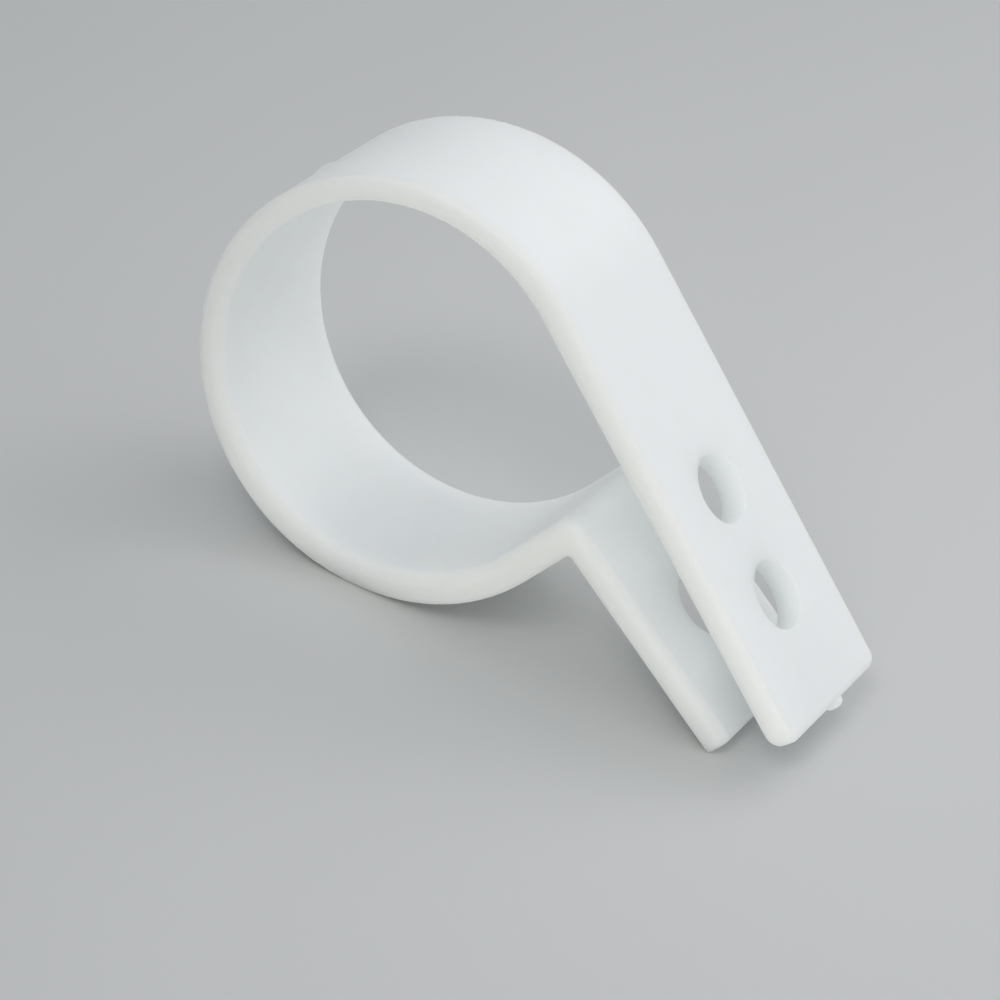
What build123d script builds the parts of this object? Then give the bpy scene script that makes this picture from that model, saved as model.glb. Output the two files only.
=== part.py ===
from build123d import *
import math
import os

# P clip for a cable, one moulding in natural nylon. Lengths are in millimetres and angles in degrees.
# A flat strap runs out of a round loop as its tangent, and a shorter tab with the same width
# is bent out of the loop's other end, over the strap. The clip is modelled open, as it is moulded.

# Strap and loop
WIDTH = 10.0
LOOP_BORE = 18.84
STRAP_THICK = 1.44
BORE_SHIFT = 0.18  # the bore sits this far towards the back, which makes the back of the loop thinner
STRAP_LENGTH = 22.73  # from the point where the strap leaves the loop
LOOP_SWEEP = 277.5  # angle of the round part, from the strap to the straight throat
THROAT_LENGTH = 3.15

# Tab
TAB_LENGTH = 11.5  # along its outer face, from the notch
TAB_SLOPE = 8.25  # it comes nearer to the strap towards its end
TAB_THICK = 1.44
BEND_RADIUS = 1.2
NOTCH_RADIUS = 0.25

# Screw holes. They sit a little off the middle of the width, where a plus is towards the broad corner.
HOLE_DIAMETER = 3.5
STRAP_HOLE_END = 5.98  # from the strap's end to its far hole
STRAP_HOLE_PITCH = 5.74
STRAP_HOLE_OFFSET = 0.11
TAB_HOLE_END = 5.72  # from the tab's end
TAB_HOLE_OFFSET = -0.2
HOLE_BREAK = 0.05

# Edges, and the strap's two end corners as seen square onto its mounting face
OUTER_EDGE = 0.38
INNER_EDGE = 0.6  # along the side that lies on the cable
TAB_END_EDGE = 0.2
STRAP_CORNER_BROAD = 0.9
STRAP_CORNER_TIGHT = INNER_EDGE + 0.05  # just enough for the edge radius that runs round it

# Marks that the moulding leaves: a stub on the strap's end and a low pip on the back of the loop
STUB_RADIUS = 0.5
STUB_LENGTH = 0.4
STUB_OFFSET = 0.78  # from the middle of the width, towards the tight corner
STUB_ROUND = 0.3
PIP_ANGLE = 94.5
PIP_RADIUS = 0.63
PIP_HEIGHT = 0.13
PIP_FOOT = 0.3
ROOT = 0.5  # how deep both marks reach into the wall, to join it

# Worked out from the sizes above, in the plane of the clip's side view. The strap lies along x,
# its mounting face is at z = 0, and the loop is above it.
bore_r = LOOP_BORE / 2
loop_r = bore_r + STRAP_THICK
hole_r = HOLE_DIAMETER / 2
loop_centre = Vector(0, 0, loop_r)
bore_centre = Vector(-BORE_SHIFT, 0, loop_r)


def loop_out(angle):
    """Direction out of the loop at an angle, counted from the strap round the back."""
    a = math.radians(angle)
    return Vector(-math.sin(a), 0, -math.cos(a))


def loop_along(angle):
    """Direction of the wall at the same angle, away from the strap."""
    a = math.radians(angle)
    return Vector(-math.cos(a), 0, math.sin(a))


def crossing(p, d, q, e):
    """Where the line through p along d meets the line through q along e, in the side view."""
    k = ((q.X - p.X) * e.Z - (q.Z - p.Z) * e.X) / (d.X * e.Z - d.Z * e.X)
    return p + d * k


half_way = loop_out(LOOP_SWEEP / 2)
throat_dir = loop_along(LOOP_SWEEP)
throat_outer = loop_centre + loop_out(LOOP_SWEEP) * loop_r
throat_inner = bore_centre + loop_out(LOOP_SWEEP) * bore_r
slope = math.radians(TAB_SLOPE)
tab_dir = Vector(math.cos(slope), 0, -math.sin(slope))
tab_in = Vector(-math.sin(slope), 0, -math.cos(slope))  # out of its strap-facing side
notch = throat_outer + throat_dir * THROAT_LENGTH
bend = crossing(throat_inner, throat_dir, notch + tab_in * TAB_THICK, tab_dir)
tab_outer = notch + tab_dir * TAB_LENGTH
tab_inner = tab_outer + tab_in * TAB_THICK
strap_outer = Vector(STRAP_LENGTH, 0, 0)
strap_inner = Vector(STRAP_LENGTH, 0, STRAP_THICK)


def outer_line():
    """Outside of the clip in its side view, from the strap's end to the tab's, with a sharp notch."""
    return [
        Line(strap_outer, (0, 0, 0)),
        ThreePointArc((0, 0, 0), loop_centre + half_way * loop_r, throat_outer),
        Line(throat_outer, notch),
        Line(notch, tab_outer),
    ]


def inner_line():
    """The side that lies on the cable, from the tab's end back to the strap's, with a sharp bend."""
    strap_start = bore_centre + loop_out(0) * bore_r
    return [
        Line(tab_inner, bend),
        Line(bend, throat_inner),
        ThreePointArc(throat_inner, bore_centre + half_way * bore_r, strap_start),
        Line(strap_start, strap_inner),
    ]


def side_view():
    """Closed outline of the clip as seen along the cable."""
    tab_end = Line(tab_outer, tab_inner)
    strap_end = Line(strap_inner, strap_outer)
    return Wire([*outer_line(), tab_end, *inner_line(), strap_end])


def cross_edge(body, place):
    """The edge across the width that passes through a place of the side view."""
    return min(body.edges().filter_by(Axis.Y), key=lambda e: (e.center() - place).length)


def blank():
    """Strip of constant width with its bend and notch rounded."""
    body = extrude(Face(side_view()), WIDTH / 2, dir=(0, 1, 0), both=True)
    body = fillet(cross_edge(body, bend), BEND_RADIUS)
    return fillet(cross_edge(body, notch), NOTCH_RADIUS)


def round_corners(body):
    """The strap's two end corners, one broader than the other."""
    end = (strap_outer + strap_inner) / 2
    for side, radius in ((1, STRAP_CORNER_BROAD), (-1, STRAP_CORNER_TIGHT)):
        corner = end + Vector(0, side * WIDTH / 2, 0)
        upright = body.edges().filter_by(Axis.Z)
        body = fillet(min(upright, key=lambda e: (e.center() - corner).length), radius)
    return body


def sharp_edges(body):
    """Edges where two faces of the strip meet at an angle."""
    found = []
    for edge in body.edges():
        sides = [f for f in body.faces() if any(edge.is_same(e) for e in f.edges())]
        first, second = [f.normal_at(edge @ 0.5) for f in sides]
        if abs(first.dot(second)) < 0.5:
            found.append(edge)
    return found


def side_rims(body, line):
    """Sharp edges at the two sides of the width that follow a line of the side view."""
    path = Wire(line)
    found = []
    for edge in sharp_edges(body):
        middle = edge @ 0.5
        on_side = abs(abs(middle.Y) - WIDTH / 2) < 1e-6
        if on_side and path.distance_to(Vector(middle.X, 0, middle.Z)) < STRAP_THICK / 3:
            found.append(edge)
    return found


def round_edges(body):
    """Broad radius along the cable side, a smaller one outside and the smallest round the tab's end."""
    body = fillet(side_rims(body, inner_line()), INNER_EDGE)
    body = fillet(side_rims(body, outer_line()), OUTER_EDGE)
    return fillet(sharp_edges(body), TAB_END_EDGE)


def holes():
    """Each screw hole as a plane at the middle of its wall, with the wall's thickness."""
    far = STRAP_LENGTH - STRAP_HOLE_END
    for along in (far, far - STRAP_HOLE_PITCH):
        in_strap = Vector(along, STRAP_HOLE_OFFSET, STRAP_THICK / 2)
        yield Plane(in_strap, z_dir=(0, 0, 1)), STRAP_THICK
    in_tab = (tab_outer + tab_inner) / 2 - tab_dir * TAB_HOLE_END + Vector(0, TAB_HOLE_OFFSET, 0)
    yield Plane(in_tab, z_dir=tab_in), TAB_THICK


def drill(body):
    """Round holes for the screw, with their rims just broken."""
    for plane, thick in holes():
        body -= plane * Cylinder(hole_r, thick * 2)
        circles = [e for e in body.edges().filter_by(GeomType.CIRCLE) if abs(e.radius - hole_r) < 1e-6]
        rims = [e for e in circles if (e.arc_center - plane.origin).length < thick]
        body = chamfer(rims, HOLE_BREAK)
    return body


def post(base, direction, radius, length):
    """Round post that stands on a base."""
    standing = (Align.CENTER, Align.CENTER, Align.MIN)
    return Plane(base, z_dir=direction) * Cylinder(radius, length, align=standing)


def stub():
    """What is left of the runner on the strap's end."""
    base = Vector(STRAP_LENGTH - ROOT, -STUB_OFFSET, STRAP_THICK / 2)
    body = post(base, Vector(1, 0, 0), STUB_RADIUS, ROOT + STUB_LENGTH)
    return fillet(body.edges().group_by(Axis.X)[-1], STUB_ROUND)


def pip():
    """Slice of a ball whose top stands just out of the loop's back, on the middle of the width."""
    out = loop_out(PIP_ANGLE)
    ball_r = (PIP_RADIUS**2 + PIP_HEIGHT**2) / (2 * PIP_HEIGHT)
    ball = Pos(*(loop_centre + out * (loop_r + PIP_HEIGHT - ball_r))) * Sphere(ball_r)
    return post(loop_centre + out * (loop_r - ROOT), out, ball_r, ROOT + PIP_HEIGHT) & ball


def join_pip(body):
    """The body with the pip on it, and with the pip's foot blended into the loop."""
    body += pip()
    foot = loop_centre + loop_out(PIP_ANGLE) * loop_r
    ring = min(body.edges(), key=lambda e: (e @ 0 - foot).length + (e @ 0.5 - foot).length)
    return fillet(ring, PIP_FOOT)


def rest_angle():
    """Direction that points up, from x towards z, when the clip lies on its loop and its tab's end."""
    foot = tab_outer + (tab_in - tab_dir) * TAB_END_EDGE
    reach = loop_centre - foot
    lean = math.acos((loop_r - TAB_END_EDGE) / reach.length)
    return math.degrees(math.atan2(reach.Z, reach.X) + lean)


def laid_down(body):
    """The clip at rest, with the middle of the bore on the origin and both ends towards plus x."""
    body = Pos(*(bore_centre * -1)) * body
    return Rot(0, 0, 180) * Rot(0, rest_angle() - 90, 0) * body


strip = round_edges(round_corners(blank()))
clip = laid_down(join_pip(drill(strip) + stub()))
clip.label = "clip"

os.makedirs("parts", exist_ok=True)
export_step(clip, "parts/clip.step")
print("up is at", round(rest_angle(), 3), "degrees; volume", round(clip.volume, 1), "mm3")
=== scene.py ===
import math

import bpy
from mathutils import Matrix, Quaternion, Vector


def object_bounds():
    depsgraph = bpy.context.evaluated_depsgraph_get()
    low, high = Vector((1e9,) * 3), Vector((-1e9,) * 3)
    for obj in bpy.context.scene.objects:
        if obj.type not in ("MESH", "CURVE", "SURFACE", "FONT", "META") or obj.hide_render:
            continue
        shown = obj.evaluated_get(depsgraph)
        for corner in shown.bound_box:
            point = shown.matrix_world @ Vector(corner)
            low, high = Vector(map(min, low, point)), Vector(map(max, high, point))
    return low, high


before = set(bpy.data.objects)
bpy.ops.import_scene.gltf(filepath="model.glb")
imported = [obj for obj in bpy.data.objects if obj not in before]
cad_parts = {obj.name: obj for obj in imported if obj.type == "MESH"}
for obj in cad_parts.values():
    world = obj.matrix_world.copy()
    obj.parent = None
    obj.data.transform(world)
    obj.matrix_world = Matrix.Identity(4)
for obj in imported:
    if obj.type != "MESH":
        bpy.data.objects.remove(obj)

cad_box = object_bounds()
MM = 0.001

# Camera: the photograph's viewing angle on a square picture
CAMERA_AZIMUTH = math.radians(21.82)
CAMERA_ELEVATION = math.radians(30.38)
CAMERA_ROLL = math.radians(13.302)
CAMERA_DISTANCE = 193.854 * MM
CAMERA_AIM = Vector((5.872, -2.889, -4.213)) * MM
CAMERA_LENS = 145.766  # in millimetres, as the sensor's width is
SENSOR = 36.0
NEAREST_SEEN = 10 * MM
FARTHEST_SEEN = 10

# Floor
FLOOR_SIZE = 3.0
FLOOR_COLOUR = (0.60, 0.60, 0.60, 1)
FLOOR_GLOW = (0.85, 0.85, 0.83, 1)  # what the floor throws back at the clip
FLOOR_ROUGHNESS = 0.6

# Sky
SKY_COLOUR = (0.93, 0.97, 1.0, 1)
SKY_BRIGHTEST = Vector((0.25, 0.1, 0.95))  # direction of its brightest point
SKY_STRENGTH = 0.765  # at that point
SKY_FADE = -0.4  # cosine of the angle from the brightest point at which the sky has gone dark

# Lamps, with their power in watts
LAMP_COLOUR = (1.0, 0.99, 0.97)
BACK_POWER = 0.055
BACK_SIZE = 120 * MM
BACK_PLACE = Vector((60, 110, 110)) * MM
BACK_AIM = Vector((0, 0, 0))
FRONT_POWER = 0.80
FRONT_RADIUS = 60 * MM
FRONT_PLACE = Vector((20, -130, 140)) * MM
FRONT_AIM = Vector((18, 0, -8)) * MM
FRONT_CONE = math.radians(30)
LOW_POWER = 0.26
LOW_RADIUS = 30 * MM
LOW_PLACE = Vector((60, -160, 20)) * MM
LOW_AIM = Vector((22, 0, -10)) * MM
LOW_CONE = math.radians(24)
FULL_BLEND = 1.0  # a spot's light fades all the way from its aim to its rim

# Colours of the nylon
MILKY = (0.902, 0.942, 0.949, 1)
# cream of the faint clouds, and also the painted shade of the strip's side faces
CREAM_AND_SIDE_SHADE = (0.905, 0.89, 0.80, 1)
TORN_WHITE = (0.95, 0.95, 0.94, 1)
SIDE_SHADE_FROM = 3.9 * MM  # from the middle of the width, where the painted shade of the side faces begins
SIDE_SHADE_TO = 5.2 * MM
MOTTLE = 0.3  # the most cream that a cloud brings
MOTTLE_FROM = 0.35  # noise level at which that cream begins
MOTTLE_TO = 0.75
STUB_PLACE = (23.54 * MM, 0.78 * MM, -9.11 * MM)
STUB_CORE = 0.56 * MM  # all white within this distance from the stub's place
STUB_REACH = 0.8 * MM

# Light in and on the nylon
SCATTER_DEPTH = 4.5 * MM
SCATTER_BY_COLOUR = (1.0, 0.95, 0.88)
FULL_SCATTER = 1.0
NYLON_IOR = 1.53
GLOSS = 0.35  # specular level
ROUGH_LEAST = 0.48
ROUGH_MOST = 0.56
ROUGH_FROM = 0.3  # noise level at which the roughness begins to rise
ROUGH_TO = 0.7

# Noise: each scale says how fine it is, and each detail how many finer layers it holds
NOISE_ROUGHNESS = 0.55
CLOUD_SCALE = 260.0
CLOUD_DETAIL = 4.0
WAVE_SCALE = 330.0
WAVE_DETAIL = 2.0
GRAIN_SCALE = 6500.0
GRAIN_DETAIL = 3.0

# Unevenness of the skin
WAVE_HEIGHT = 0.03 * MM
WAVE_STRENGTH = 1.0
GRAIN_HEIGHT = 0.004 * MM
GRAIN_STRENGTH = 0.6


def add(tree, kind, **inputs):
    """A new shader node with some of its inputs set."""
    node = tree.nodes.new(kind)
    for name, value in inputs.items():
        node.inputs[name.replace("_", " ")].default_value = value
    return node


def put(name, data, place, direction, roll=0.0):
    """A new camera or lamp at a place, looking in a direction and rolled about it."""
    thing = bpy.data.objects.new(name, data)
    thing.location = place
    thing.rotation_mode = "QUATERNION"
    level = direction.to_track_quat("-Z", "Y")
    thing.rotation_quaternion = level @ Quaternion((0, 0, 1), roll)
    bpy.context.scene.collection.objects.link(thing)
    return thing


def make_camera():
    """Camera on a turntable round the aim, tilted by the photograph's roll."""
    back = Vector((
        math.sin(CAMERA_AZIMUTH) * math.cos(CAMERA_ELEVATION),
        -math.cos(CAMERA_AZIMUTH) * math.cos(CAMERA_ELEVATION),
        math.sin(CAMERA_ELEVATION),
    ))
    data = bpy.data.cameras.new("camera")
    data.lens = CAMERA_LENS
    data.sensor_width = SENSOR
    data.clip_start = NEAREST_SEEN
    data.clip_end = FARTHEST_SEEN
    camera = put("camera", data, CAMERA_AIM + back * CAMERA_DISTANCE, -back, CAMERA_ROLL)
    bpy.context.scene.camera = camera


def floor_material():
    """Matt floor that throws more light back at the clip than its own colour shows."""
    material = bpy.data.materials.new("floor")
    material.use_nodes = True
    tree = material.node_tree
    shader = tree.nodes["Principled BSDF"].inputs
    ray = add(tree, "ShaderNodeLightPath").outputs
    seen = maths(tree, "MAXIMUM", ray["Is Camera Ray"], ray["Is Glossy Ray"])
    seen = maths(tree, "MAXIMUM", seen, ray["Is Transmission Ray"])
    tree.links.new(blend_colour(tree, seen, FLOOR_GLOW, FLOOR_COLOUR), shader["Base Color"])
    shader["Roughness"].default_value = FLOOR_ROUGHNESS
    return material


def make_floor():
    """Plain pale floor under the lowest point of the clip."""
    half = FLOOR_SIZE / 2
    height = cad_box[0][2]
    mesh = bpy.data.meshes.new("floor")
    corners = [(-half, -half), (half, -half), (half, half), (-half, half)]
    mesh.from_pydata([(x, y, height) for x, y in corners], [], [(0, 1, 2, 3)])
    mesh.materials.append(floor_material())
    floor = bpy.data.objects.new("floor", mesh)
    bpy.context.scene.collection.objects.link(floor)


def make_sky():
    """Soft cool sky, brightest nearly overhead and dark well below the horizon."""
    world = bpy.data.worlds.new("sky")
    world.use_nodes = True
    tree = world.node_tree
    sky = tree.nodes["Background"].inputs
    sky["Color"].default_value = SKY_COLOUR
    facing = add(tree, "ShaderNodeVectorMath")
    facing.operation = "DOT_PRODUCT"
    facing.inputs[1].default_value = SKY_BRIGHTEST.normalized()
    tree.links.new(add(tree, "ShaderNodeTexCoord").outputs["Generated"], facing.inputs[0])
    strength = spread(tree, facing.outputs["Value"], SKY_FADE, 1.0, 0.0, SKY_STRENGTH)
    tree.links.new(strength, sky["Strength"])
    bpy.context.scene.world = world


def add_lamp(kind, name, place, aim, power):
    """A lamp that looks from its place at its aim; its size is set on the data that comes back."""
    data = bpy.data.lights.new(name, kind)
    data.energy = power
    data.color = LAMP_COLOUR
    put(name, data, place, aim - place)
    return data


def soft_spot(name, place, aim, power, radius, cone):
    """Spot with soft shadows, whose light fades evenly from its aim outwards."""
    spot = add_lamp("SPOT", name, place, aim, power)
    spot.shadow_soft_size = radius
    spot.spot_size = cone
    spot.spot_blend = FULL_BLEND


def make_lamps():
    """A broad lamp behind the loop, and two soft spots from the front that reach under the strap."""
    back = add_lamp("AREA", "back", BACK_PLACE, BACK_AIM, BACK_POWER)
    back.size = BACK_SIZE
    soft_spot("front", FRONT_PLACE, FRONT_AIM, FRONT_POWER, FRONT_RADIUS, FRONT_CONE)
    soft_spot("low", LOW_PLACE, LOW_AIM, LOW_POWER, LOW_RADIUS, LOW_CONE)


def spread(tree, value, low, high, to_low=0.0, to_high=1.0):
    """A value that runs softly from one level to another while its source runs from low to high."""
    node = add(tree, "ShaderNodeMapRange", From_Min=low, From_Max=high, To_Min=to_low, To_Max=to_high)
    node.interpolation_type = "SMOOTHSTEP"
    tree.links.new(value, node.inputs["Value"])
    return node.outputs["Result"]


def maths(tree, operation, first, second=None):
    """One operation on one or two values."""
    node = add(tree, "ShaderNodeMath")
    node.operation = operation
    tree.links.new(first, node.inputs[0])
    if second is not None:
        tree.links.new(second, node.inputs[1])
    return node.outputs["Value"]


def blend_colour(tree, factor, first, second):
    """A colour between two, each of them fixed or from another node."""
    node = add(tree, "ShaderNodeMix")
    node.data_type = "RGBA"
    tree.links.new(factor, node.inputs["Factor"])
    for name, colour in (("A", first), ("B", second)):
        if isinstance(colour, tuple):
            node.inputs[name].default_value = colour
        else:
            tree.links.new(colour, node.inputs[name])
    return node.outputs["Result"]


def noise(tree, place, scale, detail):
    """Grey noise that stays where it is on the clip."""
    node = add(tree, "ShaderNodeTexNoise", Scale=scale, Detail=detail, Roughness=NOISE_ROUGHNESS)
    tree.links.new(place, node.inputs["Vector"])
    return node.outputs["Fac"]


def colour_and_side_shade(tree, place, clouds):
    """Milky, creamier in faint clouds, and creamier and darker towards both sides of the strip, which
    is painted shade on the side faces.
    """
    split = add(tree, "ShaderNodeSeparateXYZ")
    tree.links.new(place, split.inputs["Vector"])
    aside = maths(tree, "ABSOLUTE", split.outputs["Y"])
    # painted shade: the side faces of the strip get a creamier, darker colour that stands in for the
    # dimmer light they catch
    painted_side_shade = spread(tree, aside, SIDE_SHADE_FROM, SIDE_SHADE_TO)
    mottle = spread(tree, clouds, MOTTLE_FROM, MOTTLE_TO, 0.0, MOTTLE)
    return blend_colour(tree, maths(tree, "MAXIMUM", painted_side_shade, mottle), MILKY, CREAM_AND_SIDE_SHADE)


def torn_stub(tree, place):
    """One on the stub that the runner left, and zero away from it."""
    away = add(tree, "ShaderNodeVectorMath")
    away.operation = "DISTANCE"
    away.inputs[1].default_value = STUB_PLACE
    tree.links.new(place, away.inputs[0])
    return spread(tree, away.outputs["Value"], STUB_CORE, STUB_REACH, 1.0, 0.0)


def satin(tree, clouds, torn):
    """Roughness that varies a little with the clouds and is full where the nylon is torn."""
    rough = spread(tree, clouds, ROUGH_FROM, ROUGH_TO, ROUGH_LEAST, ROUGH_MOST)
    return maths(tree, "MAXIMUM", rough, maths(tree, "MULTIPLY", torn, torn))


def skin(tree, place):
    """Normal of a softly wavy skin with a fine grain on it."""
    waves = add(tree, "ShaderNodeBump", Strength=WAVE_STRENGTH, Distance=WAVE_HEIGHT)
    tree.links.new(noise(tree, place, WAVE_SCALE, WAVE_DETAIL), waves.inputs["Height"])
    grain = add(tree, "ShaderNodeBump", Strength=GRAIN_STRENGTH, Distance=GRAIN_HEIGHT)
    tree.links.new(noise(tree, place, GRAIN_SCALE, GRAIN_DETAIL), grain.inputs["Height"])
    tree.links.new(waves.outputs["Normal"], grain.inputs["Normal"])
    return grain.outputs["Normal"]


def nylon():
    """Milky unfilled nylon that light scatters in, whitened where the runner broke off."""
    material = bpy.data.materials.new("natural_nylon")
    material.use_nodes = True
    tree = material.node_tree
    place = add(tree, "ShaderNodeTexCoord").outputs["Object"]
    clouds = noise(tree, place, CLOUD_SCALE, CLOUD_DETAIL)
    torn = torn_stub(tree, place)
    colour = blend_colour(tree, torn, colour_and_side_shade(tree, place, clouds), TORN_WHITE)

    shader = tree.nodes["Principled BSDF"].inputs
    tree.links.new(colour, shader["Base Color"])
    tree.links.new(satin(tree, clouds, torn), shader["Roughness"])
    tree.links.new(skin(tree, place), shader["Normal"])
    shader["IOR"].default_value = NYLON_IOR
    shader["Specular IOR Level"].default_value = GLOSS
    shader["Subsurface Weight"].default_value = FULL_SCATTER
    shader["Subsurface Radius"].default_value = SCATTER_BY_COLOUR
    shader["Subsurface Scale"].default_value = SCATTER_DEPTH
    return material


def dress():
    """The clip's own mesh, in nylon."""
    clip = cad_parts["clip"]
    clip.data.materials.clear()
    clip.data.materials.append(nylon())


bpy.context.scene.view_settings.view_transform = "Standard"
make_camera()
make_floor()
make_sky()
make_lamps()
dress()
